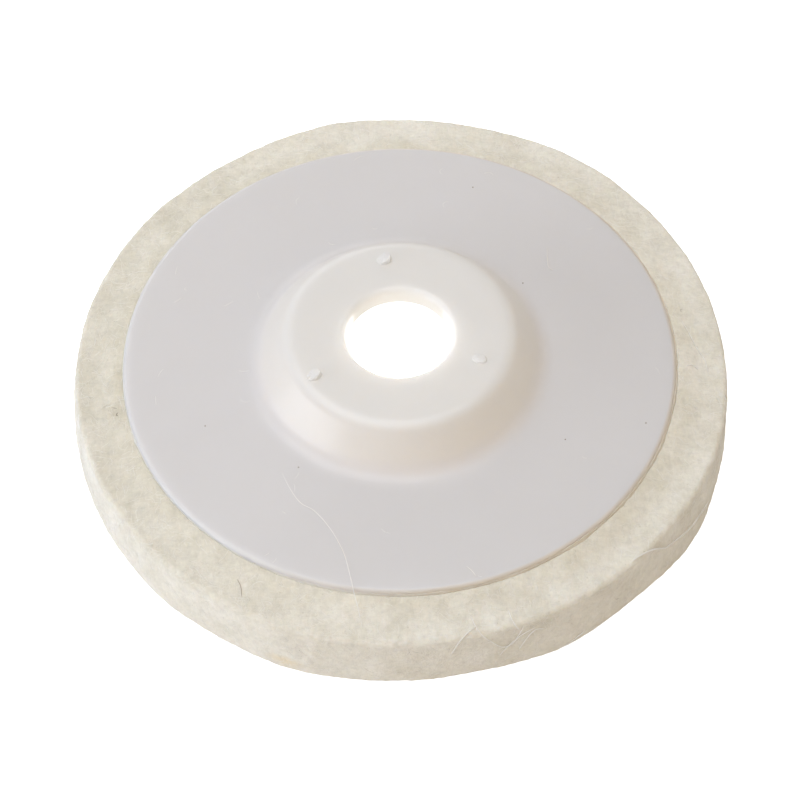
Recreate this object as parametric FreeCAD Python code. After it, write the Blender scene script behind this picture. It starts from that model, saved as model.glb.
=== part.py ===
import FreeCAD, Part
import math
import os

# Felt polishing disc with a moulded plastic backing, lying on its felt face.
# Millimetres, +Z up, origin at the bottom centre of the felt's working face.

# ---- felt ring -------------------------------------------------------------
felt_top_radius = 50.4
felt_bottom_radius = 51.2
felt_hole_radius = 22.0
felt_thickness = 9.4
felt_top_edge_radius = 0.9
felt_bottom_edge_radius = 0.7
felt_hole_edge_radius = 0.4

# ---- adhesive --------------------------------------------------------------
film_thickness = 0.2
film_inner_radius = 22.6
bead_reach = 0.34
bead_rise = 0.60

# ---- backing plate: flange -------------------------------------------------
flange_radius = 42.8
flange_thickness = 1.4
flange_rim_round = 0.8

# ---- backing plate: hub ----------------------------------------------------
hub_height = 6.2
hub_top_radius = 17.6
hub_wall_slope_deg = 52.5
hub_wall_thickness = 2.5
web_thickness = 3.0
hub_top_round = 2.6
hub_foot_round = 3.0
recess_corner_round = 1.0
recess_mouth_round = 0.8

# ---- backing plate: bore ---------------------------------------------------
bore_radius = 8.0
bore_lip_round = 1.0
bore_bottom_chamfer = 0.2

# ---- backing plate: torn-off gate nubs -------------------------------------
# Each nub: angle about the axis, distance from the axis, foot radius, height, lean towards X and Y.
gate_nubs = (
    {"angle": 99.0, "ring": 14.2, "foot": 1.25, "top": 0.95, "height": 1.0, "lean_x": 0.10, "lean_y": 0.25},
    {"angle": 212.0, "ring": 15.3, "foot": 1.25, "top": 0.90, "height": 0.9, "lean_x": 0.20, "lean_y": 0.10},
    {"angle": 336.0, "ring": 13.2, "foot": 1.30, "top": 0.95, "height": 0.4, "lean_x": 0.10, "lean_y": 0.05},
)
nub_sink = 0.5
nub_tip_tilt_deg = 14.0

# ---- levels worked out from the sizes above --------------------------------
film_bottom = felt_thickness
flange_bottom = felt_thickness + film_thickness
flange_top = flange_bottom + flange_thickness
hub_top = flange_top + hub_height
web_bottom = hub_top - web_thickness
wall_run_per_rise = 1.0 / math.tan(math.radians(hub_wall_slope_deg))
wall_level_width = hub_wall_thickness / math.sin(math.radians(hub_wall_slope_deg))


def point(radius, height):
    """A point of a half section: distance from the axis and height."""
    return FreeCAD.Vector(radius, 0, height)


def outer_wall_radius(height):
    """Radius of the hub's outside cone at a height."""
    return hub_top_radius + (hub_top - height) * wall_run_per_rise


def inner_wall_radius(height):
    """Radius of the recess's cone at a height."""
    return outer_wall_radius(height) - wall_level_width


def revolve(section):
    """Turn a closed half section once round the Z axis."""
    axis_point = FreeCAD.Vector(0, 0, 0)
    axis_direction = FreeCAD.Vector(0, 0, 1)
    return section.revolve(axis_point, axis_direction, 360)


def corner_arc(before, corner, after, radius):
    """End points and middle of the round that replaces one corner of a section."""
    back = (before - corner).normalize()
    ahead = (after - corner).normalize()
    half_angle = back.getAngle(ahead) / 2.0
    setback = radius / math.tan(half_angle)
    start = corner + back * setback
    end = corner + ahead * setback
    bisector = (back + ahead).normalize()
    centre = corner + bisector * (radius / math.sin(half_angle))
    middle = centre - bisector * radius
    return start, middle, end


def rounded_section(corners):
    """Closed face from corners given as (radius, height, rounding); 0 keeps a corner sharp."""
    count = len(corners)
    places = [point(corner[0], corner[1]) for corner in corners]
    edges = []
    first_start = None
    last_end = None
    for index in range(count):
        rounding = corners[index][2]
        start = places[index]
        end = places[index]
        if rounding > 0:
            before = places[index - 1]
            after = places[(index + 1) % count]
            start, middle, end = corner_arc(before, places[index], after, rounding)
        if last_end is not None:
            edges.append(Part.makeLine(last_end, start))
        if rounding > 0:
            edges.append(Part.Arc(start, middle, end).toShape())
        if first_start is None:
            first_start = start
        last_end = end
    edges.append(Part.makeLine(last_end, first_start))
    return Part.Face(Part.Wire(edges))


def make_felt_ring():
    """Pressed wool-felt annulus with softened cut edges and a slightly flared side."""
    section = rounded_section([
        (felt_hole_radius, 0.0, felt_hole_edge_radius),
        (felt_bottom_radius, 0.0, felt_bottom_edge_radius),
        (felt_top_radius, felt_thickness, felt_top_edge_radius),
        (felt_hole_radius, felt_thickness, 0.0),
    ])
    return revolve(section)


def make_adhesive_layer():
    """Cured film under the flange, with the bead that was squeezed out round the rim."""
    film_top = film_bottom + film_thickness
    bead_top = film_top + bead_rise
    bead_outer = flange_radius + bead_reach
    corners = [
        point(film_inner_radius, film_bottom),
        point(bead_outer, film_bottom),
        point(flange_radius, bead_top),
        point(flange_radius, film_top),
        point(film_inner_radius, film_top),
    ]
    bulge = point(flange_radius + 0.62 * bead_reach, film_bottom + 0.55 * (bead_top - film_bottom))
    edges = [
        Part.makeLine(corners[0], corners[1]),
        Part.Arc(corners[1], bulge, corners[2]).toShape(),
        Part.makeLine(corners[2], corners[3]),
        Part.makeLine(corners[3], corners[4]),
        Part.makeLine(corners[4], corners[0]),
    ]
    return revolve(Part.Face(Part.Wire(edges)))


def make_plate_body():
    """Flange, hollow conical hub, web and bore as one turned shape."""
    section = rounded_section([
        (bore_radius, web_bottom + bore_bottom_chamfer, 0.0),
        (bore_radius + bore_bottom_chamfer, web_bottom, 0.0),
        (inner_wall_radius(web_bottom), web_bottom, recess_corner_round),
        (inner_wall_radius(flange_bottom), flange_bottom, recess_mouth_round),
        (flange_radius, flange_bottom, 0.0),
        (flange_radius, flange_top, flange_rim_round),
        (outer_wall_radius(flange_top), flange_top, hub_foot_round),
        (hub_top_radius, hub_top, hub_top_round),
        (bore_radius, hub_top, bore_lip_round),
    ])
    return revolve(section)


def make_gate_nub(nub):
    """One stub of plastic left where a gate was torn off: a leaning cone cut off at a slant."""
    angle = math.radians(nub["angle"])
    foot_x = nub["ring"] * math.cos(angle)
    foot_y = nub["ring"] * math.sin(angle)
    foot_centre = FreeCAD.Vector(foot_x, foot_y, hub_top - nub_sink)
    tip_centre = FreeCAD.Vector(foot_x + nub["lean_x"], foot_y + nub["lean_y"], hub_top + nub["height"])
    up = FreeCAD.Vector(0, 0, 1)
    tilt = math.radians(nub_tip_tilt_deg)
    tip_normal = FreeCAD.Vector(math.sin(tilt), -math.sin(tilt) * 0.5, math.cos(tilt))
    foot_ring = Part.Wire([Part.Circle(foot_centre, up, nub["foot"]).toShape()])
    tip_ring = Part.Wire([Part.Circle(tip_centre, tip_normal, nub["top"]).toShape()])
    return Part.makeLoft([foot_ring, tip_ring], True)


def make_backing_plate():
    """The whole plastic moulding, gate nubs included."""
    plate = make_plate_body()
    nubs = [make_gate_nub(nub) for nub in gate_nubs]
    return plate.fuse(nubs).removeSplitter()


def main():
    os.makedirs("parts", exist_ok=True)
    nodes = {
        "felt_ring": make_felt_ring(),
        "backing_plate": make_backing_plate(),
        "adhesive_layer": make_adhesive_layer(),
    }
    for name, shape in nodes.items():
        if shape.ShapeType == "Compound" and len(shape.Solids) == 1:
            shape = shape.Solids[0]
        print(name, shape.ShapeType, len(shape.Solids), shape.isValid(), round(shape.Volume, 2))
        shape.exportStep("parts/" + name + ".step")


main()
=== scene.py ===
import math

import bpy
import numpy as np
from mathutils import Matrix, Vector, noise
from mathutils.bvhtree import BVHTree


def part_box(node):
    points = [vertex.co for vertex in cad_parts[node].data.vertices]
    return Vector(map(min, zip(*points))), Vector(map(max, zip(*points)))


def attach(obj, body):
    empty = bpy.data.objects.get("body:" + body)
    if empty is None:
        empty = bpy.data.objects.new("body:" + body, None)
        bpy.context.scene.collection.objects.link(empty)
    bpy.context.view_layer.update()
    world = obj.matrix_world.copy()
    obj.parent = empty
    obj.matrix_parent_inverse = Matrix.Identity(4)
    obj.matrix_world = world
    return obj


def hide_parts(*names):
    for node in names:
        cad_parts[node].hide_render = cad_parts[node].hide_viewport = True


# Felt polishing wheel, lying on its felt face. Metres, in the CAD frame: +Z up, origin at the
# middle of the felt's working face.

MM = 0.001

# ---- the frame ---------------------------------------------------------------------------
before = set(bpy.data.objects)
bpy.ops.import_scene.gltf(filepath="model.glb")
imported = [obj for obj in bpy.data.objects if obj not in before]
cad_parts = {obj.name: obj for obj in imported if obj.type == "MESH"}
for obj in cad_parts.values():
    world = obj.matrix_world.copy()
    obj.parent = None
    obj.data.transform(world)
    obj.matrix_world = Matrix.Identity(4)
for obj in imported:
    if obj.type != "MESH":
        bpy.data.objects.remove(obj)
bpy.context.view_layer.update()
_, felt_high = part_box("felt_ring")
plate_low, plate_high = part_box("backing_plate")
glue_low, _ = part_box("adhesive_layer")

FELT_FOOT_RADIUS = felt_high.x / MM
FELT_TOP = felt_high.z / MM
PLATE_RADIUS = plate_high.x / MM
PLATE_BOTTOM = plate_low.z / MM
FILM_BOTTOM = glue_low.z / MM

# ---- shapes that the boxes don't give, in millimetres --------------------------------------
FELT_FLARE = 0.8
FELT_TOP_RADIUS = FELT_FOOT_RADIUS - FELT_FLARE
FELT_HOLE_RADIUS = 22.0
FLANGE_THICKNESS = 1.4
HUB_HEIGHT = 6.2
PLATE_TOP = PLATE_BOTTOM + FLANGE_THICKNESS
HUB_TOP = PLATE_TOP + HUB_HEIGHT
HUB_TOP_RADIUS = 17.6
HUB_SLOPE = math.radians(52.5)
HUB_WALL = 2.5
WEB_THICKNESS = 3.0
BORE_RADIUS = 8.0
BORE_CHAMFER = 0.2

WHEEL_SEGMENTS = 900
PLATE_SEGMENTS = 512
NUB_TURNS = 48
NUB_LEVELS = 9
RANDOM_SEED = 41


def hub_outside(height):
    """Radius of the hub's outer cone at a height."""
    return HUB_TOP_RADIUS + (HUB_TOP - height) / math.tan(HUB_SLOPE)


def hub_inside(height):
    """Radius of the recess's cone at a height."""
    return hub_outside(height) - HUB_WALL / math.sin(HUB_SLOPE)


# ---- building closed rings -----------------------------------------------------------------
def closed_section(corners):
    """Points of a closed half section from (radius, height, rounding, step to the next corner)."""
    places = [np.array(corner[:2], float) for corner in corners]
    points = []
    for index, (_, _, rounding, step) in enumerate(corners):
        corner = places[index]
        back = places[index - 1] - corner
        ahead = places[(index + 1) % len(corners)] - corner
        back /= np.linalg.norm(back)
        ahead /= np.linalg.norm(ahead)
        if rounding > 0:
            half = math.acos(np.clip(back @ ahead, -1, 1)) / 2
            middle = (back + ahead) / np.linalg.norm(back + ahead)
            centre = corner + middle * rounding / math.sin(half)
            first = corner + back * rounding / math.tan(half) - centre
            last = corner + ahead * rounding / math.tan(half) - centre
            turn = math.atan2(first[0] * last[1] - first[1] * last[0], first @ last)
            count = max(3, int(abs(math.degrees(turn)) / 12))
            for k in range(count + 1):
                a = turn * k / count
                spin = np.array([[math.cos(a), -math.sin(a)], [math.sin(a), math.cos(a)]])
                points.append((centre + spin @ first, step if k == count else 0))
        else:
            points.append((corner, step))
    out = []
    for index, (point, step) in enumerate(points):
        out.append(point)
        if step:
            run = points[(index + 1) % len(points)][0] - point
            count = max(1, round(np.linalg.norm(run) / step))
            out.extend(point + run * k / count for k in range(1, count))
    return np.array(out)


def ring_grid(section, segments):
    """Points of a section turned round the axis: an array of turns, section points and xyz."""
    angle = np.linspace(0, 2 * math.pi, segments, endpoint=False)[:, None]
    radius, height = section[None, :, 0], section[None, :, 1]
    flat = np.zeros_like(angle)
    return np.stack([radius * np.cos(angle), radius * np.sin(angle), height + flat], axis=-1)


def grid_normals(grid):
    """Outward unit normals of a closed ring grid."""
    along_turn = np.roll(grid, -1, 0) - np.roll(grid, 1, 0)
    along_section = np.roll(grid, -1, 1) - np.roll(grid, 1, 1)
    normal = np.cross(along_turn, along_section)
    return normal / np.maximum(np.linalg.norm(normal, axis=-1, keepdims=True), 1e-12)


def grid_faces(turns, count, start=0):
    """Quads of a closed ring grid."""
    i = np.arange(turns)[:, None]
    j = np.arange(count)[None, :]
    i_next, j_next = (i + 1) % turns, (j + 1) % count
    quads = [i * count + j, i_next * count + j, i_next * count + j_next, i * count + j_next]
    return start + np.stack(quads, axis=-1).reshape(-1, 4)


def make_mesh(name, points, faces, material):
    """A mesh object from points in millimetres and equal-sided faces."""
    faces = np.asarray(faces)
    sides = faces.shape[1]
    mesh = bpy.data.meshes.new(name)
    mesh.vertices.add(len(points))
    mesh.vertices.foreach_set("co", (np.asarray(points) * MM).astype(np.float32).ravel())
    mesh.loops.add(faces.size)
    mesh.loops.foreach_set("vertex_index", faces.astype(np.int32).ravel())
    mesh.polygons.add(len(faces))
    mesh.polygons.foreach_set("loop_start", np.arange(0, faces.size, sides, dtype=np.int32))
    mesh.polygons.foreach_set("use_smooth", np.ones(len(faces), dtype=bool))
    mesh.update(calc_edges=True)
    mesh.validate()
    made = bpy.data.objects.new(name, mesh)
    bpy.context.scene.collection.objects.link(made)
    made.data.materials.append(material)
    return made


def noise_field(points, scale, octaves, offset=0.0):
    """Fractal noise of mean 0 and spread 1 at points in millimetres; scale is its lump size."""
    flat = np.asarray(points, float).reshape(-1, 3) / scale + offset
    values = np.array([noise.fractal(p, 0.8, 2.1, octaves) for p in flat.tolist()])
    values = (values - values.mean()) / max(values.std(), 1e-9)
    return values.reshape(np.shape(points)[:-1])


def ease(x, low, high):
    """Smooth step from 0 at low to 1 at high."""
    t = np.clip((x - low) / (high - low), 0, 1)
    return t * t * (3 - 2 * t)


# ---- shader helpers ------------------------------------------------------------------------
class Shader:
    """A Principled material being put together from nodes."""

    def __init__(self, name):
        self.material = bpy.data.materials.new(name)
        self.material.use_nodes = True
        self.nodes = self.material.node_tree.nodes
        self.links = self.material.node_tree.links
        self.surface = self.nodes["Principled BSDF"]
        self.place = self.add("ShaderNodeTexCoord").outputs["Object"]

    def add(self, kind, **settings):
        node = self.nodes.new(kind)
        for key, value in settings.items():
            setattr(node, key, value)
        return node

    def wire(self, value, socket):
        """Links an output to a socket, or sets the socket to a plain value."""
        if isinstance(value, bpy.types.NodeSocket):
            self.links.new(value, socket)
        else:
            socket.default_value = value

    def set(self, **values):
        for key, value in values.items():
            self.wire(value, self.surface.inputs[key.replace("_", " ")])

    def noise(self, scale, detail=4.0, rough=0.5, distortion=0.0, place=None):
        node = self.add("ShaderNodeTexNoise")
        self.wire(self.place if place is None else place, node.inputs["Vector"])
        node.inputs["Scale"].default_value = scale
        node.inputs["Detail"].default_value = detail
        node.inputs["Roughness"].default_value = rough
        node.inputs["Distortion"].default_value = distortion
        return node.outputs["Fac"]

    def stretched(self, scale, turn):
        """Object coordinates turned and scaled unevenly, for streaks."""
        node = self.add("ShaderNodeMapping")
        self.wire(self.place, node.inputs["Vector"])
        node.inputs["Rotation"].default_value = turn
        node.inputs["Scale"].default_value = scale
        return node.outputs["Vector"]

    def ramp(self, value, *stops):
        """Maps a value through (position, grey or colour) stops."""
        node = self.add("ShaderNodeValToRGB")
        self.wire(value, node.inputs["Fac"])
        while len(node.color_ramp.elements) < len(stops):
            node.color_ramp.elements.new(0.5)
        for element, (position, colour) in zip(node.color_ramp.elements, stops):
            element.position = position
            grey = isinstance(colour, (int, float))
            element.color = (colour, colour, colour, 1) if grey else (*colour, 1)
        return node.outputs["Color"]

    def mix(self, factor, first, second, blend="MIX"):
        node = self.add("ShaderNodeMix", data_type="RGBA", blend_type=blend)
        self.wire(factor, node.inputs["Factor"])
        colour_a, colour_b = [s for s in node.inputs if s.type == "RGBA"]
        self.wire(first if isinstance(first, bpy.types.NodeSocket) else (*first, 1), colour_a)
        self.wire(second if isinstance(second, bpy.types.NodeSocket) else (*second, 1), colour_b)
        return [s for s in node.outputs if s.type == "RGBA"][0]

    def axis(self, letter):
        """One object coordinate, in metres."""
        node = self.add("ShaderNodeSeparateXYZ")
        self.wire(self.place, node.inputs[0])
        return node.outputs[letter]

    def away(self, centre, scale):
        """Distance in metres from a place given in millimetres, with each axis scaled."""
        offset = self.add("ShaderNodeVectorMath", operation="SUBTRACT")
        self.wire(self.place, offset.inputs[0])
        offset.inputs[1].default_value = [value * MM for value in centre]
        scaled = self.add("ShaderNodeVectorMath", operation="MULTIPLY")
        self.wire(offset.outputs[0], scaled.inputs[0])
        scaled.inputs[1].default_value = scale
        length = self.add("ShaderNodeVectorMath", operation="LENGTH")
        self.wire(scaled.outputs[0], length.inputs[0])
        return length.outputs["Value"]

    def span(self, value, low, high):
        """Maps a length in metres from 0 at low to 1 at high, both in millimetres."""
        node = self.add("ShaderNodeMapRange")
        self.wire(value, node.inputs["Value"])
        node.inputs["From Min"].default_value = low * MM
        node.inputs["From Max"].default_value = high * MM
        return node.outputs["Result"]

    def math(self, kind, first, second=0.0):
        node = self.add("ShaderNodeMath", operation=kind)
        self.wire(first, node.inputs[0])
        self.wire(second, node.inputs[1])
        return node.outputs[0]

    def bump(self, height, distance, strength=1.0, under=None):
        node = self.add("ShaderNodeBump")
        self.wire(height, node.inputs["Height"])
        node.inputs["Distance"].default_value = distance
        node.inputs["Strength"].default_value = strength
        if under is not None:
            self.wire(under, node.inputs["Normal"])
        return node.outputs["Normal"]


STAIN_PLACE = (-17.2, -48.2, 2.0)  # tan smear low on the felt's side, in millimetres


def felt_material():
    """Pressed cream wool: mottled, matt, with fine crossing streaks, plus painted shade on its top
    towards the left and next to the plate.
    """
    s = Shader("wool_felt")
    dull, bright = (0.812, 0.778, 0.675), (0.955, 0.928, 0.845)
    blotches = s.ramp(s.noise(190, 5, 0.6), (0.30, dull), (0.72, bright))
    streak_a = s.noise(1, 3, 0.6, 0.6, s.stretched((700, 2600, 1500), (0.2, 0.4, 0.5)))
    streak_b = s.noise(1, 3, 0.6, 0.6, s.stretched((2600, 800, 1500), (0.5, 0.1, 1.3)))
    streaks = s.math("MULTIPLY", streak_a, streak_b)
    threads = s.ramp(streaks, (0.12, 0.95), (0.28, 1.0), (0.42, 1.05))
    colour = s.mix(1.0, blotches, threads, "MULTIPLY")
    flecks = s.ramp(s.noise(850, 4, 0.7), (0.28, 0.90), (0.52, 1.0), (0.75, 1.04))
    colour = s.mix(1.0, colour, flecks, "MULTIPLY")
    grime = s.ramp(s.noise(2100, 2, 0.5), (0.66, 0.0), (0.78, 0.35))
    colour = s.mix(grime, colour, (0.50, 0.45, 0.36))
    on_top = s.span(s.axis("Z"), FELT_TOP - 1.6, FELT_TOP - 0.3)
    # Painted shade: the felt's top is darkened towards the left (-X), standing in for less light
    # falling on the top there.
    top_left_painted_shade = s.math("MULTIPLY", on_top, s.span(s.axis("X"), -10, -55))
    colour = s.mix(top_left_painted_shade, colour, s.mix(1.0, colour, (0.843, 0.832, 0.798), "MULTIPLY"))
    # Painted shade: the felt's top is darkened in the band just outside the plate's rim, darkest
    # next to the rim.
    beside_rim_painted_shade = s.math("MULTIPLY", on_top, s.span(s.away((0, 0, FELT_TOP), (1, 1, 0)), 47.0, 43.5))
    colour = s.mix(beside_rim_painted_shade, colour, s.mix(1.0, colour, (0.97, 0.96, 0.935), "MULTIPLY"))
    stain = s.span(s.away(STAIN_PLACE, (1, 1, 2.4)), 3.4, 0.8)
    colour = s.mix(stain, colour, s.mix(1.0, colour, (0.95, 0.88, 0.76), "MULTIPLY"))
    s.set(Base_Color=colour, Roughness=0.96, Sheen_Weight=0.25, Sheen_Roughness=0.5)
    s.set(Subsurface_Weight=0.25, Subsurface_Scale=0.0012, Subsurface_Radius=(1.0, 0.8, 0.55))
    s.surface.inputs["Specular IOR Level"].default_value = 0.15
    coarse = s.bump(s.noise(900, 4, 0.65), 0.00014)
    s.set(Normal=s.bump(streaks, 0.00010, 1.0, coarse))
    return s.material


def fibre_material(name, light, dark):
    """Single wool hairs, slightly uneven in colour along their length."""
    s = Shader(name)
    s.set(Base_Color=s.ramp(s.noise(260, 2), (0.35, dark), (0.65, light)))
    s.set(Roughness=0.62, Sheen_Weight=0.2)
    s.set(Normal=s.bump(s.noise(9000, 2), 0.00001))
    return s.material


def plastic_material():
    """White moulded plastic: satin, slightly see-through, with a painted warm glow on the hub, and
    at the rim painted light on the left and adhesive smear with painted shade on the right.
    """
    s = Shader("white_plastic")
    height = s.span(s.axis("Z"), PLATE_TOP, HUB_TOP)
    cone = s.ramp(height, (0.0, 0.0), (0.35, 1.0), (0.85, 1.0))
    face = s.ramp(height, (0.88, 0.0), (0.97, 1.0))
    mottle = s.noise(28, 3, 0.5)
    # Painted glow: the hub's cone and top get warmer, lighter colours than the flange, standing in
    # for warm light coming through the translucent plastic of the hub.
    thin = s.ramp(mottle, (0.35, (0.760, 0.744, 0.748)), (0.65, (0.778, 0.762, 0.766)))
    cone_painted_glow = s.ramp(mottle, (0.35, (0.775, 0.757, 0.732)), (0.65, (0.793, 0.775, 0.750)))
    flat = s.ramp(mottle, (0.35, (0.798, 0.792, 0.780)), (0.65, (0.813, 0.807, 0.796)))
    colour = s.mix(face, s.mix(cone, thin, cone_painted_glow), flat)
    # Painted light and shade at the rim: a pale colour on the left (-X) cancels the rim's shade,
    # and the tan towards +X is partly adhesive smear and partly painted warm shade.
    rim = s.span(s.away((0, 0, 0), (1, 1, 0)), PLATE_RADIUS - 0.75, PLATE_RADIUS - 0.15)
    rim_painted_light_and_smear = s.mix(s.span(s.axis("X"), -26, 6), (0.88, 0.87, 0.87), (0.92, 0.78, 0.63))
    s.set(Base_Color=s.mix(rim, colour, rim_painted_light_and_smear))
    scuffs = s.noise(1, 2, 0.5, 0.2, s.stretched((120, 2400, 300), (0, 0, 0.7)))
    s.set(Roughness=s.ramp(scuffs, (0.35, 0.29), (0.7, 0.38)))
    s.set(Subsurface_Weight=0.8, Subsurface_Scale=0.0026, Subsurface_Radius=(1.0, 0.96, 0.90))
    s.surface.inputs["IOR"].default_value = 1.49
    broad = s.bump(s.noise(70, 2, 0.5), 0.0005, 0.25)
    s.set(Normal=s.bump(scuffs, 0.00001, 0.5, broad))
    return s.material


def adhesive_material():
    """Cured tan adhesive, a little glossy and uneven, and painted paler on the left as painted
    light.
    """
    s = Shader("cured_adhesive")
    tone = s.ramp(s.noise(420, 4, 0.6), (0.32, (0.90, 0.74, 0.57)), (0.7, (0.97, 0.84, 0.69)))
    # Painted light: the adhesive towards the left (-X) gets a pale colour, so its shaded crevice
    # there reads as light as the lit plate rim.
    pale = s.ramp(s.noise(420, 4, 0.6), (0.32, (0.90, 0.87, 0.79)), (0.7, (0.97, 0.94, 0.87)))
    tone = s.mix(s.span(s.axis("X"), -26, 6), pale, tone)
    s.set(Base_Color=tone, Roughness=s.ramp(s.noise(600, 3), (0.3, 0.28), (0.7, 0.55)))
    s.set(Subsurface_Weight=0.6, Subsurface_Scale=0.0010, Subsurface_Radius=(1.0, 0.8, 0.65))
    s.set(Normal=s.bump(s.noise(1500, 3), 0.0001))
    return s.material


FELT = felt_material()
PLASTIC = plastic_material()
ADHESIVE = adhesive_material()
WOOL_LIGHT = fibre_material("wool_hair_light", (0.99, 0.98, 0.94), (0.93, 0.91, 0.85))
WOOL_STRAND = fibre_material("wool_strand", (0.98, 0.97, 0.95), (0.94, 0.92, 0.88))
WOOL_SHADE = fibre_material("wool_hair_shade", (0.80, 0.75, 0.65), (0.68, 0.63, 0.53))
WOOL_DARK = fibre_material("wool_hair_dark", (0.40, 0.35, 0.28), (0.26, 0.22, 0.17))
WOOL_BROWN = fibre_material("wool_hair_brown", (0.34, 0.25, 0.17), (0.20, 0.14, 0.10))


# ---- felt ring -----------------------------------------------------------------------------
# Where the felt's hand-cut outline bulges or falls short at its top edge and at its foot:
# azimuth and half width in degrees, depth in millimetres.
TOP_LOBES = (
    (158, 16, 0.28),
    (134, 6, -0.30),
    (120, 8, -0.20),
    (101, 11, 0.55),
    (54, 15, 0.50),
    (33, 10, 0.15),
    (-20, 16, 0.50),
    (-110, 16, 0.25),
    (-160, 25, 0.15),
)
FOOT_LOBES = (
    (-31, 12, 1.05),
    (-62, 9, 0.75),
    (-92, 9, 0.35),
    (-110, 10, 0.75),
    (-132, 9, 0.55),
    (180, 12, 0.20),
    (90, 60, 0.15),
)
WORN_SIDE = -145  # azimuth in degrees at which the top edge is rubbed roundest
NESTLE_RISE = 0.85  # how far the felt swells up beside the plate
BEAD_SIDE = -35  # azimuth in degrees at which the squeezed-out bead is widest


def bead_share(azimuth):
    """How much of the adhesive bead there is at an azimuth in degrees, 0 to 1."""
    return ease(np.cos(np.radians(azimuth - BEAD_SIDE)), -0.1, 0.75)


def outline_bulge(azimuth, lobes):
    """How far the outline stands out at an azimuth in degrees."""
    total = np.zeros_like(azimuth)
    for middle, width, depth in lobes:
        away = (azimuth - middle + 180) % 360 - 180
        total += depth * np.exp(-((away / width) ** 2))
    return total


def felt_grid():
    """The felt's surface: a ring with soft cut edges, a wavy outline and small lumps."""
    section = closed_section([
        (FELT_HOLE_RADIUS, 0.0, 0.4, 0.55),
        (FELT_FOOT_RADIUS, 0.0, 0.7, 0.36),
        (FELT_TOP_RADIUS, FELT_TOP, 0.8, 0.36),
        (PLATE_RADIUS - 1.0, FELT_TOP, 0.0, 2.2),
        (FELT_HOLE_RADIUS, FELT_TOP, 0.0, 0.6),
    ])
    grid = ring_grid(section, WHEEL_SEGMENTS)
    radius = np.hypot(grid[..., 0], grid[..., 1])
    around = grid / np.maximum(radius, 1e-9)[..., None]
    outline = around * [1, 1, 0]
    azimuth = np.degrees(np.arctan2(grid[..., 1], grid[..., 0]))
    height = grid[..., 2] / FELT_TOP
    wobble = noise_field(outline * 20 + [0, 0, 3.7], 9.0, 2)
    wobble_low = noise_field(outline * 20 + [0, 0, 11.2], 6.0, 2)
    outward = height * (0.06 * wobble + outline_bulge(azimuth, TOP_LOBES))
    outward += (1 - height) * (0.06 * wobble_low + outline_bulge(azimuth, FOOT_LOBES))
    grid += outline * (outward * ease(radius, 44, 49.5))[..., None]
    corner = np.hypot(radius - FELT_TOP_RADIUS, grid[..., 2] - FELT_TOP)
    worn = ease(np.cos(np.radians(azimuth - WORN_SIDE)), -0.2, 0.9) * (1 - ease(corner, 0, 4.0))
    grid -= (outline + [0, 0, 1]) * (0.30 * worn)[..., None]
    crest = noise_field(outline * 20 + [0, 0, 23.0], 5.0, 2) * 0.08
    free_top = ease(radius, PLATE_RADIUS + 0.6, PLATE_RADIUS + 3.0)
    grid[..., 2] += crest * free_top * ease(grid[..., 2], 2.0, FELT_TOP)
    beside_rim = ease(radius, PLATE_RADIUS - 0.45, PLATE_RADIUS - 0.05)
    beside_rim *= 1 - ease(radius, PLATE_RADIUS + 0.2, PLATE_RADIUS + 4.5)
    grid[..., 2] += NESTLE_RISE * beside_rim * ease(grid[..., 2], FELT_TOP - 1, FELT_TOP)
    lumps = noise_field(grid, 2.6, 3) * 0.028 + noise_field(grid, 0.8, 2, 5.0) * 0.018
    under_plate = 1 - ease(radius, PLATE_RADIUS - 0.5, PLATE_RADIUS + 1.0)
    hidden = under_plate * ease(grid[..., 2], FELT_TOP - 1, FELT_TOP)
    grid += grid_normals(grid) * (lumps * (1 - hidden))[..., None]
    grid[..., 2] = np.maximum(grid[..., 2], 0.0)
    return grid


felt_points = felt_grid()
felt = make_mesh(
    "felt", felt_points.reshape(-1, 3), grid_faces(*felt_points.shape[:2]), FELT
)
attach(felt, "root")
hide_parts("felt_ring")


# ---- wool hairs ----------------------------------------------------------------------------
HAIR_STEPS = 6


class Surface:
    """Sampling of the felt's grid, so that hairs can follow it."""

    def __init__(self, grid):
        self.grid = grid
        self.normal = grid_normals(grid)
        self.turn_step = np.linalg.norm(np.roll(grid, -1, 0) - grid, axis=-1)
        self.section_step = np.linalg.norm(np.roll(grid, -1, 1) - grid, axis=-1)

    def blend(self, values, a, b):
        turns, count = values.shape[:2]
        i, j = np.floor(a).astype(int), np.floor(b).astype(int)
        fa, fb = a - i, b - j
        if values.ndim == 3:
            fa, fb = fa[..., None], fb[..., None]
        i, j, i2, j2 = i % turns, j % count, (i + 1) % turns, (j + 1) % count
        low = values[i, j] * (1 - fb) + values[i, j2] * fb
        high = values[i2, j] * (1 - fb) + values[i2, j2] * fb
        return low * (1 - fa) + high * fa

    def starts(self, rng, count, weight):
        """Random places on the grid, by area times weight, as fractional grid indices."""
        area = self.turn_step * self.section_step * weight
        share = (area / area.sum()).ravel()
        cell = rng.choice(share.size, count, p=share)
        columns = self.grid.shape[1]
        return cell // columns + rng.random(count), cell % columns + rng.random(count)

    def walks(self, rng, count, steps, length, curl, weight):
        """Curved walks over the surface: their points and the surface normals along them."""
        a, b = self.starts(rng, count, weight)
        heading = rng.uniform(0, 2 * math.pi, count)
        bend = rng.normal(0, curl, count) / length
        sway = rng.normal(0, 0.5 * curl, count)
        phase = rng.uniform(0, 2 * math.pi, count)
        points, normals = [], []
        for k in range(steps + 1):
            points.append(self.blend(self.grid, a, b))
            normals.append(self.blend(self.normal, a, b))
            t = k / steps
            angle = heading + bend * length * t + sway * np.sin(phase + 2 * math.pi * t)
            stride = length / steps
            a = a + np.cos(angle) * stride / self.blend(self.turn_step, a, b)
            b = b + np.sin(angle) * stride / np.maximum(self.blend(self.section_step, a, b), 0.02)
        return np.stack(points, 1), np.stack(normals, 1)


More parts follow.
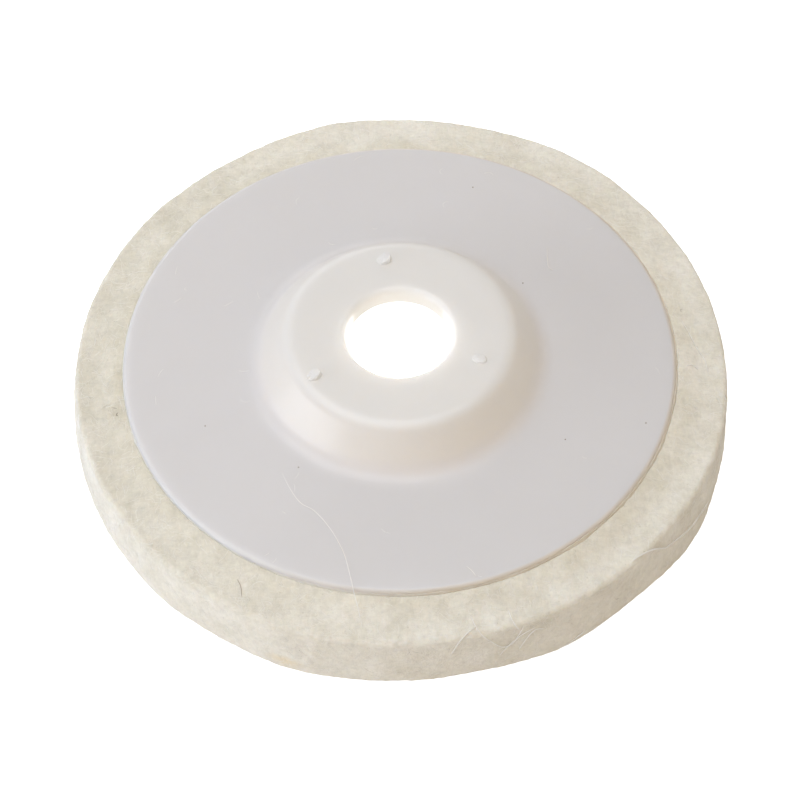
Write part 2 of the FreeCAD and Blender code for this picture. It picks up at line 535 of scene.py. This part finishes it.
def tubes(lines, normals, radius, sides=3):
    """Closed tapering tubes along many lines at once: points and triangles."""
    count, steps = lines.shape[:2]
    along = np.gradient(lines, axis=1)
    along /= np.maximum(np.linalg.norm(along, axis=-1, keepdims=True), 1e-9)
    across = np.cross(along, normals)
    across /= np.maximum(np.linalg.norm(across, axis=-1, keepdims=True), 1e-9)
    third = np.cross(across, along)
    t = np.linspace(-1, 1, steps)[None, :, None]
    width = np.asarray(radius).reshape(-1, 1, 1) * (1 - 0.75 * np.abs(t) ** 5)
    rings = []
    for k in range(sides):
        angle = 2 * math.pi * k / sides + math.pi / 2
        rings.append(lines + width * (math.cos(angle) * across + math.sin(angle) * third))
    points = np.stack(rings, 2).reshape(-1, 3)
    base = (np.arange(count) * steps * sides)[:, None]
    faces = []
    for s in range(steps - 1):
        for k in range(sides):
            k2 = (k + 1) % sides
            p, q = s * sides + k, s * sides + k2
            faces += [(p, p + sides, q), (q, p + sides, q + sides)]
    last = (steps - 1) * sides
    for k in range(1, sides - 1):
        faces += [(0, k, k + 1), (last, last + k + 1, last + k)]
    faces = (base[:, :, None] + np.array(faces)[None]).reshape(-1, 3)
    return points, faces


def add_hairs(name, rng, count, length, thickness, lift, reach, material, weight, curl):
    """Hairs that lie in the felt's surface, or with reach above 0 stand out of it at one end."""
    length = rng.uniform(*length, count)
    lines, normals = SURFACE.walks(rng, count, HAIR_STEPS, length, curl, weight)
    t = np.linspace(0, 1, HAIR_STEPS + 1)[None, :]
    arch = rng.uniform(*lift, (count, 1)) * np.sin(math.pi * t) ** 0.6 - 0.02
    stand = rng.uniform(0, 1, (count, 1)) ** 2 * reach * t**1.6
    lines = lines + normals * (arch + stand)[..., None]
    points, faces = tubes(lines, normals, rng.uniform(*thickness, count) / 2)
    points[:, 2] = np.maximum(points[:, 2], 0.01)
    hairs = make_mesh(name, points, faces, material)
    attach(hairs, "root")


SURFACE = Surface(felt_points)
felt_radius = np.hypot(felt_points[..., 0], felt_points[..., 1])
on_top = (felt_points[..., 2] > FELT_TOP - 1.2) & (felt_radius > PLATE_RADIUS + 0.3)
on_side = felt_radius > FELT_TOP_RADIUS - 0.5
in_hole = felt_radius < FELT_HOLE_RADIUS + 0.5
below = (felt_points[..., 2] < 0.5) & ~on_side & ~in_hole
felt_height = felt_points[..., 2]
seen = 1.0 * on_top + 1.0 * on_side * (felt_height > 0.4) + 0.4 * in_hole + 0.45 * below
fuzzy = 0.5 * on_top + 1.0 * on_side * (felt_height > 0.8) + 0.4 * in_hole

rng = np.random.default_rng(RANDOM_SEED)
# Name, count, length, thickness, lift, how far one end stands out, material, where, curl.
HAIRS = (
    ("wool_hairs_light", 7500, (0.8, 3.2), (0.035, 0.08), (0, 0.035), 0, WOOL_LIGHT, seen, 0.8),
    ("wool_hairs_shade", 360, (0.8, 3.5), (0.03, 0.06), (0, 0.03), 0, WOOL_SHADE, seen, 1.2),
    ("wool_hairs_dark", 40, (0.3, 1.4), (0.04, 0.07), (0, 0.05), 0, WOOL_DARK, seen, 1.2),
    ("wool_fuzz", 900, (0.8, 3.2), (0.02, 0.04), (0, 0.04), 0.8, WOOL_LIGHT, fuzzy, 1.2),
)
for name, *settings in HAIRS:
    add_hairs(name, rng, *settings)


# ---- moulded plate -------------------------------------------------------------------------
def plate_grid():
    """Flange, hollow cone, web and bore as one closed ring, very slightly warped as moulded."""
    web_low = HUB_TOP - WEB_THICKNESS
    section = closed_section([
        (BORE_RADIUS, web_low + BORE_CHAMFER, 0.0, 0.0),
        (BORE_RADIUS + BORE_CHAMFER, web_low, 0.0, 0.8),
        (hub_inside(web_low), web_low, 1.0, 0.8),
        (hub_inside(PLATE_BOTTOM), PLATE_BOTTOM, 0.8, 1.5),
        (PLATE_RADIUS, PLATE_BOTTOM, 0.0, 0.4),
        (PLATE_RADIUS, PLATE_TOP, 0.8, 0.8),
        (hub_outside(PLATE_TOP), PLATE_TOP, 3.0, 0.6),
        (HUB_TOP_RADIUS, HUB_TOP, 2.6, 0.6),
        (BORE_RADIUS, HUB_TOP, 1.0, 0.5),
    ])
    grid = ring_grid(section, PLATE_SEGMENTS)
    radius = np.hypot(grid[..., 0], grid[..., 1])
    warp = noise_field(grid * [1, 1, 0], 30.0, 2) * 0.03
    on_flange = ease(radius, 26, 40) * ease(grid[..., 2], PLATE_BOTTOM + 0.4, PLATE_TOP)
    grid[..., 2] += warp * on_flange
    return grid


# Torn gate stubs on the hub: azimuth and distance from the axis, half widths of the foot, turn of
# its long way, height, and how steeply the broken face slopes along it.
GATE_NUBS = (
    {"angle": 99, "ring": 14.2, "foot": (1.35, 0.95), "turn": 20,
     "height": 1.0, "slope": 0.55, "seed": 3},
    {"angle": 212, "ring": 15.3, "foot": (1.35, 0.95), "turn": 25,
     "height": 0.9, "slope": 0.55, "seed": 8},
    {"angle": 336, "ring": 13.2, "foot": (1.35, 1.0), "turn": -20,
     "height": 0.45, "slope": 0.25, "seed": 15},
)
NUB_SINK = 0.5  # how far a stub reaches down into the hub, so that it fuses
NUB_CROWN = ((0.86, 0.03), (0.62, 0.06), (0.32, 0.08))  # rings of the broken face: size and rise


def gate_nub(nub):
    """A torn stub of plastic: an oval plug whose broken face slopes up across it."""
    angle = np.linspace(0, 2 * math.pi, NUB_TURNS, endpoint=False)
    azimuth, turn = math.radians(nub["angle"]), math.radians(nub["turn"])
    centre = nub["ring"] * np.array([math.cos(azimuth), math.sin(azimuth)])
    long_way, short_way = np.cos(angle), np.sin(angle)
    rows = []
    for k in range(NUB_LEVELS + 1):
        t = k / NUB_LEVELS
        ring = [long_way * 1.6 + nub["seed"], short_way * 1.6, 0 * angle + t]
        torn = noise_field(np.stack(ring, 1), 1.0, 2)
        size = (1 - 0.22 * t) * (1 + 0.035 * torn)
        across, along = long_way * nub["foot"][0] * size, short_way * nub["foot"][1] * size
        x = centre[0] + across * math.cos(turn) - along * math.sin(turn)
        y = centre[1] + across * math.sin(turn) + along * math.cos(turn)
        top = nub["height"] * (0.62 + nub["slope"] * long_way + 0.06 * torn)
        rows.append(np.stack([x, y, HUB_TOP - NUB_SINK + (NUB_SINK + top) * t], 1))
    rim = rows[-1]
    middle = rim.mean(0)
    for shrink, crown in NUB_CROWN:
        inner = middle + (rim - middle) * shrink
        inner[:, 2] += 0.025 * noise_field(inner * [1, 1, 0] * 1.5 + nub["seed"], 1.0, 2) + crown
        rows.append(inner)
    points = np.concatenate(rows)
    faces = []
    for level in range(len(rows) - 1):
        for k in range(NUB_TURNS):
            k2 = (k + 1) % NUB_TURNS
            p = level * NUB_TURNS
            faces.append((p + k, p + k2, p + NUB_TURNS + k2, p + NUB_TURNS + k))
    nub_mesh = bpy.data.meshes.new("nub")
    foot = tuple(reversed(range(NUB_TURNS)))
    last = (len(rows) - 1) * NUB_TURNS
    tip = tuple(last + k for k in range(NUB_TURNS))
    nub_mesh.from_pydata((points * MM).tolist(), [], [*faces, foot, tip])
    made = bpy.data.objects.new("nub", nub_mesh)
    bpy.context.scene.collection.objects.link(made)
    return made


def fuse(target, other):
    """Joins a closed mesh to another with an exact boolean, and drops the second object."""
    cut = target.modifiers.new("fuse", "BOOLEAN")
    cut.operation = "UNION"
    cut.solver = "EXACT"
    cut.object = other
    bpy.context.view_layer.update()
    evaluated = target.evaluated_get(bpy.context.evaluated_depsgraph_get())
    result = bpy.data.meshes.new_from_object(evaluated)
    target.modifiers.remove(cut)
    target.data = result
    bpy.data.objects.remove(other)


plate_points = plate_grid()
plate = make_mesh(
    "moulded_plate", plate_points.reshape(-1, 3), grid_faces(*plate_points.shape[:2]), PLASTIC
)
for nub in GATE_NUBS:
    fuse(plate, gate_nub(nub))
plate.data.shade_smooth()
plate.data.set_sharp_from_angle(angle=math.radians(32))
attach(plate, "root")
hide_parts("backing_plate")


# ---- adhesive ------------------------------------------------------------------------------
BEAD_RISE = 1.00
BEAD_REACH = 0.50


def adhesive_grid():
    """The film under the flange, with an uneven bead squeezed out round the rim."""
    film_low, film_high = FILM_BOTTOM, PLATE_BOTTOM
    section = closed_section([
        (FELT_HOLE_RADIUS + 0.6, film_low - 0.05, 0.0, 2.5),
        (PLATE_RADIUS - 0.6, film_low - 0.05, 0.0, 0.3),
        (PLATE_RADIUS + BEAD_REACH, film_low - 0.05, 0.1, 0.1),
        (PLATE_RADIUS, film_high + BEAD_RISE, 0.0, 0.1),
        (PLATE_RADIUS - 0.15, film_high + BEAD_RISE, 0.0, 0.2),
        (PLATE_RADIUS - 0.15, film_high, 0.0, 2.5),
        (FELT_HOLE_RADIUS + 0.6, film_high, 0.0, 0.1),
    ])
    grid = ring_grid(section, WHEEL_SEGMENTS)
    radius = np.hypot(grid[..., 0], grid[..., 1])
    outline = grid / np.maximum(radius, 1e-9)[..., None] * [1, 1, 0]
    swell = noise_field(outline * PLATE_RADIUS, 4.0, 3)
    beads = noise_field(outline * PLATE_RADIUS + [0, 0, 9], 1.1, 2)
    reach = ease(radius, PLATE_RADIUS, PLATE_RADIUS + 0.25)
    starved = 0.12 * (1 - bead_share(np.degrees(np.arctan2(grid[..., 1], grid[..., 0]))))
    grid += outline * (reach * (0.05 * swell + 0.03 * beads - starved))[..., None]
    rise = ease(grid[..., 2], film_high + 0.1, film_high + BEAD_RISE)
    grid[..., 2] += rise * (0.04 * swell + 0.03 * beads - 1.2 * starved)
    return grid


glue_points = adhesive_grid()
glue = make_mesh(
    "adhesive_bead", glue_points.reshape(-1, 3), grid_faces(*glue_points.shape[:2]), ADHESIVE
)
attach(glue, "root")
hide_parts("adhesive_layer")


# ---- loose strands and dust ----------------------------------------------------------------
# Points as (azimuth in degrees, radius, height), in millimetres; each is laid on the wheel.
PLATE_STRANDS = (
    [(-130, 27.9, 11), (-124, 29.6, 11), (-119, 30.9, 11), (-114.6, 31.2, 11), (-108.4, 33.4, 11),
     (-103.6, 36.8, 11), (-101.6, 39.5, 11), (-99.6, 42.8, 10.5), (-98.3, 45.1, 9.4),
     (-97.2, 47.9, 9.4)],
    [(-76.4, 39.6, 11), (-75.6, 40.6, 11), (-75.2, 41.6, 11)],
    [(41.5, 31.7, 11), (38.6, 30.3, 11), (35.4, 29.2, 11), (33.5, 29.6, 11)],
)
SIDE_STRANDS = (
    [(-48, 50.0, 9.4), (-46, 50.1, 9.3), (-43, 50.5, 8.7), (-40, 50.9, 6.4), (-37.3, 51.0, 5.6),
     (-33.2, 51.4, 4.5), (-29.8, 51.6, 4.0), (-27.7, 51.7, 3.6), (-25.6, 51.7, 3.1)],
)
FELT_STRANDS = (
    [(9.6, 44.4, 9.4), (5.2, 45.3, 9.4), (1.9, 46.2, 9.4), (-0.8, 47.3, 9.4), (-4.2, 47.7, 9.4)],
    [(-3.2, 43.6, 9.4), (-2.2, 45.0, 9.4), (-3.1, 46.2, 9.4)],
    [(-78.1, 46.8, 9.4), (-77.6, 49.3, 9.4), (-76, 50.6, 7.9), (-73.7, 50.9, 5.4), (-72, 50.9, 5.6),
     (-70.8, 50.8, 7.2), (-69.8, 50.5, 9.0)],
    [(-82.6, 51.0, 5.6), (-81.3, 50.8, 8.0), (-80, 50.0, 9.4), (-77.3, 48.6, 9.4)],
    [(-74.2, 51.2, 3.6), (-72.5, 51.0, 5.5), (-70.3, 50.9, 7.0), (-67.8, 50.8, 7.8)],
    [(-71.4, 47.6, 9.4), (-71.4, 49.6, 9.4), (-70.6, 50.6, 8.2)],
    [(-70.9, 51.2, 3.8), (-69.5, 51.0, 5.9), (-68, 50.9, 7.3), (-66.3, 50.9, 6.8)],
    [(-63.4, 51.4, 0.8), (-61.1, 51.4, 1.2), (-58.7, 51.3, 1.9)],
)
BROWN_STRANDS = (
    [(-169.6, 44.8, 9.4), (-168.3, 43.7, 9.4), (-167.4, 44.4, 9.4), (-166.8, 43.4, 9.4)],
    [(-121.8, 46.0, 9.4), (-120.4, 46.8, 9.4), (-119.2, 48.2, 9.4)],
    [(-5.4, 43.4, 9.5), (-5.0, 43.8, 9.6), (-4.6, 43.3, 9.6)],
)
DUST = (
    (35.5, 24.1),
    (-13.9, 21.3),
    (-127, 25.6),
    (-19.7, 39.5),
    (-33, 29.6),
    (-157, 32.2),
    (70, 36.0),
)


def surface_tree(*pieces):
    """A search tree over the faces of several pieces, in metres."""
    points, faces = [], []
    for piece in pieces:
        start = len(points)
        points.extend(v.co.copy() for v in piece.data.vertices)
        faces.extend([start + v for v in polygon.vertices] for polygon in piece.data.polygons)
    return BVHTree.FromPolygons(points, faces)


def smooth_path(points, per_span=6):
    """A Catmull-Rom line through points."""
    points = np.array(points, float)
    padded = np.vstack([2 * points[0] - points[1], points, 2 * points[-1] - points[-2]])
    out = []
    for k in range(1, len(padded) - 2):
        a, b, c, d = padded[k - 1 : k + 3]
        for t in np.arange(per_span) / per_span:
            out.append(
                0.5 * (2 * b + (c - a) * t + (2 * a - 5 * b + 4 * c - d) * t**2
                       + (3 * b - a - 3 * c + d) * t**3)
            )
    return np.array([*out, points[-1]])


def strand(places, tree, thickness, lift):
    """A single fibre laid over the wheel through given places: points and triangles."""
    azimuth, radius, height = np.array(places, float).T
    turn = np.radians(azimuth)
    line = smooth_path(np.stack([radius * np.cos(turn), radius * np.sin(turn), height], 1))
    laid, normals = [], []
    for k, point in enumerate(line):
        spot, normal, _, _ = tree.find_nearest(Vector(point * MM))
        wave = 1 + math.sin(1.9 * k) * 0.5
        laid.append(np.array(spot) / MM + np.array(normal) * (thickness / 2 + lift * wave))
        normals.append(np.array(normal))
    laid, normals = np.array(laid), np.array(normals)
    for _ in range(2):
        laid[1:-1] = (laid[:-2] + 2 * laid[1:-1] + laid[2:]) / 4
        normals[1:-1] = (normals[:-2] + normals[1:-1] + normals[2:]) / 3
    return tubes(laid[None], normals[None], [thickness / 2], sides=5)


def add_strands(name, routes, tree, thickness, lift, material):
    points, faces, start = [], [], 0
    for places in routes:
        tube_points, tube_faces = strand(places, tree, thickness, lift)
        points.append(tube_points)
        faces.append(tube_faces + start)
        start += len(tube_points)
    made = make_mesh(name, np.concatenate(points), np.concatenate(faces), material)
    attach(made, "root")


def lint_routes(rng, count):
    """Short curved bits of wool that lie about on the plate."""
    routes = []
    for _ in range(count):
        azimuth, radius = rng.uniform(0, 360), math.sqrt(rng.uniform(24**2, 42**2))
        heading = rng.uniform(0, 2 * math.pi)
        bend, length = rng.normal(0, 0.7), rng.uniform(0.6, 2.0)
        route = []
        for t in (-0.5, -0.17, 0.17, 0.5):
            angle = heading + bend * t
            across = length * t
            route.append((
                azimuth + math.degrees(across * math.sin(angle) / radius),
                radius + across * math.cos(angle),
                PLATE_TOP,
            ))
        routes.append(route)
    return routes


wheel_tree = surface_tree(felt, plate, glue)
add_strands("plate_strands", PLATE_STRANDS, wheel_tree, 0.13, 0.12, WOOL_STRAND)
add_strands("side_strand", SIDE_STRANDS, wheel_tree, 0.25, 0.11, WOOL_STRAND)
add_strands("felt_strands", FELT_STRANDS, wheel_tree, 0.15, 0.08, WOOL_STRAND)
add_strands("brown_strands", BROWN_STRANDS, wheel_tree, 0.07, 0.02, WOOL_BROWN)
LINT_COUNT = 26
lint = lint_routes(rng, LINT_COUNT)
add_strands("plate_lint", lint, wheel_tree, 0.06, 0.01, WOOL_STRAND)


DUST_TURNS = 9
DUST_RADIUS = 0.10
DUST_RINGS = ((1.0, -0.03), (1.0, 0.03), (0.6, 0.08))  # share of the radius, and height


def add_dust():
    """A few specks of dirt on the plate: small flattened grains."""
    turns = DUST_TURNS
    points, faces = [], []
    for azimuth, radius in DUST:
        turn = math.radians(azimuth)
        centre = np.array([radius * math.cos(turn), radius * math.sin(turn)])
        spot, _, _, _ = wheel_tree.find_nearest(Vector((*centre, PLATE_TOP)) * MM)
        top = spot.z / MM
        base = len(points)
        ring = np.linspace(0, 2 * math.pi, turns, endpoint=False)
        for size, height in DUST_RINGS:
            uneven = DUST_RADIUS * size * rng.uniform(0.7, 1.3, turns)
            for a, reach in zip(ring, uneven):
                x, y = centre[0] + reach * math.cos(a), centre[1] + reach * math.sin(a)
                points.append((x, y, top + height))
        for level in range(2):
            for k in range(turns):
                p, q = base + level * turns + k, base + level * turns + (k + 1) % turns
                faces += [(p, q, q + turns), (p, q + turns, p + turns)]
        for k in range(1, turns - 1):
            tip = base + 2 * turns
            faces += [(base, base + k + 1, base + k), (tip, tip + k, tip + k + 1)]
    made = make_mesh("dust_specks", np.array(points), faces, WOOL_BROWN)
    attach(made, "root")


add_dust()


# ---- surroundings --------------------------------------------------------------------------
FLOOR_GLOW = 0.07
FLOOR_GLOW_SEEN = 1.0
WORLD_FILLS = (
    ((1, 0, 0), (0.423, 0.347, 0.245)),
    ((0, -1, 0), (0.649, 0.566, 0.489)),
    ((0, 1, 0), (0.167, 0.161, 0.155)),
)
WHEEL_MIDDLE = (0, 0, 0.01)
SOFTBOXES = (  # name, place, size, watts, colour
    ("softbox_top", (-0.10, 0.05, 0.60), (0.50, 0.50), 2.41, (0.95, 0.97, 1.0)),
    ("softbox_low", (-0.414, -0.15, 0.094), (0.40, 0.14), 0.837, (0.87, 0.913, 1.0)),
    ("softbox_back", (-0.10, 0.45, 0.18), (0.30, 0.20), 0.388, (1.0, 0.96, 0.935)),
)
BORE_GLOW_WATTS = 0.0022
BORE_LAMP_WATTS = 0.0036
FLOOR_HALF_SIZE = 4.0
FLOOR_DROP = 0.00002  # just under the wheel, so the two faces don't fight
BORE_GLOW_RADIUS = 20.0
BORE_GLOW_HEIGHT = 0.3
BORE_LAMP_SIZE = (8, 3)
BORE_LAMP_PLACE = (0, 3, 12)
BORE_LAMP_TARGET = (0, -8, 16)


def make_floor():
    """A plain white table that glows like a light table, and looks white to the camera."""
    size = FLOOR_HALF_SIZE
    mesh = bpy.data.meshes.new("floor")
    corners = [(-size, -size, 0), (size, -size, 0), (size, size, 0), (-size, size, 0)]
    mesh.from_pydata(corners, [], [(0, 1, 2, 3)])
    floor = bpy.data.objects.new("floor", mesh)
    bpy.context.scene.collection.objects.link(floor)
    floor.location.z = -FLOOR_DROP
    s = Shader("pale_floor")
    seen = s.add("ShaderNodeLightPath").outputs["Is Camera Ray"]
    glow = s.add("ShaderNodeMapRange")
    s.wire(seen, glow.inputs["Value"])
    glow.inputs["To Min"].default_value = FLOOR_GLOW
    glow.inputs["To Max"].default_value = FLOOR_GLOW_SEEN
    s.set(Base_Color=(0.80, 0.80, 0.80, 1), Roughness=0.9)
    s.set(Emission_Color=(1, 1, 1, 1), Emission_Strength=glow.outputs["Result"])
    floor.data.materials.append(s.material)


def make_world():
    """Weak fills from the right, the front and the back; plain white to the camera."""
    world = bpy.data.worlds.new("studio")
    bpy.context.scene.world = world
    world.use_nodes = True
    nodes, links = world.node_tree.nodes, world.node_tree.links
    place = nodes.new("ShaderNodeTexCoord").outputs["Generated"]

    def facing(direction):
        """How far the light's direction looks the given way, never below 0."""
        dot = nodes.new("ShaderNodeVectorMath")
        dot.operation = "DOT_PRODUCT"
        dot.inputs[1].default_value = direction
        links.new(place, dot.inputs[0])
        top = nodes.new("ShaderNodeMath")
        top.operation = "MAXIMUM"
        links.new(dot.outputs["Value"], top.inputs[0])
        top.inputs[1].default_value = 0.0
        return top.outputs[0]

    total = None
    for direction, colour in WORLD_FILLS:
        joined = nodes.new("ShaderNodeVectorMath")
        joined.operation = "MULTIPLY_ADD"
        links.new(facing(direction), joined.inputs[0])
        joined.inputs[1].default_value = colour
        if total is not None:
            links.new(total, joined.inputs[2])
        total = joined.outputs[0]
    background = nodes["Background"]
    links.new(total, background.inputs["Color"])
    backdrop = nodes.new("ShaderNodeBackground")
    backdrop.inputs["Strength"].default_value = 1.0
    backdrop.inputs["Color"].default_value = (1, 1, 1, 1)
    mix = nodes.new("ShaderNodeMixShader")
    links.new(nodes.new("ShaderNodeLightPath").outputs["Is Camera Ray"], mix.inputs["Fac"])
    links.new(background.outputs[0], mix.inputs[1])
    links.new(backdrop.outputs[0], mix.inputs[2])
    links.new(mix.outputs[0], nodes["World Output"].inputs["Surface"])


def add_light(name, shape, power, place):
    """An area light that the camera doesn't see."""
    data = bpy.data.lights.new(name, "AREA")
    data.shape = shape
    data.energy = power
    light = bpy.data.objects.new(name, data)
    bpy.context.scene.collection.objects.link(light)
    light.location = place
    light.visible_camera = False
    return light


def aim(light, place, target):
    """Turns a light at a place towards a target."""
    light.rotation_euler = (Vector(target) - Vector(place)).to_track_quat("-Z", "Y").to_euler()


def make_light(name, place, target, size, power, colour):
    """A soft rectangular studio light that points at a target."""
    light = add_light(name, "RECTANGLE", power, place)
    light.data.size, light.data.size_y = size
    light.data.color = colour
    aim(light, place, target)


def make_bore_lamp(power):
    """A small light in the bore that shines at its near side, for the glare at that lip."""
    place, target = Vector(BORE_LAMP_PLACE) * MM, Vector(BORE_LAMP_TARGET) * MM
    light = add_light("bore_lamp", "RECTANGLE", power, place)
    light.data.size, light.data.size_y = (side * MM for side in BORE_LAMP_SIZE)
    aim(light, place, target)


def make_bore_glow(power):
    """The light table's glow coming up through the felt's hole and the bore."""
    light = add_light("bore_glow", "DISK", power, (0, 0, BORE_GLOW_HEIGHT * MM))
    light.data.size = 2 * BORE_GLOW_RADIUS * MM
    light.rotation_euler = (math.pi, 0, 0)


CAMERA_ELEVATION = math.radians(54.35)
CAMERA_ROLL = math.radians(-0.9)
CAMERA_DISTANCE = 0.400
CAMERA_LENS = 117.9
CAMERA_SENSOR = 36
CAMERA_CLIP = 0.01
CAMERA_TARGET = Vector((-0.03 * MM, -8.31 * MM, PLATE_TOP * MM))


def make_camera():
    """A long lens looking down on the wheel."""
    forward = Vector((0, math.cos(CAMERA_ELEVATION), -math.sin(CAMERA_ELEVATION)))
    right = Vector((1, 0, 0))
    up = right.cross(forward)
    c, s = math.cos(CAMERA_ROLL), math.sin(CAMERA_ROLL)
    axis_x = c * right + s * up
    axis_y = -s * right + c * up
    data = bpy.data.cameras.new("camera")
    data.lens = CAMERA_LENS
    data.sensor_width = CAMERA_SENSOR
    data.clip_start = CAMERA_CLIP
    camera = bpy.data.objects.new("camera", data)
    bpy.context.scene.collection.objects.link(camera)
    turn = Matrix((axis_x, axis_y, -forward)).transposed().to_4x4()
    camera.matrix_world = Matrix.Translation(CAMERA_TARGET - forward * CAMERA_DISTANCE) @ turn
    bpy.context.scene.camera = camera


make_floor()
make_world()
for name, place, size, power, colour in SOFTBOXES:
    make_light(name, place, WHEEL_MIDDLE, size, power, colour)
make_bore_glow(BORE_GLOW_WATTS)
make_bore_lamp(BORE_LAMP_WATTS)
make_camera()
bpy.context.scene.view_settings.view_transform = "Standard"

# ---- the end -------------------------------------------------------------------------------
bpy.context.view_layer.update()
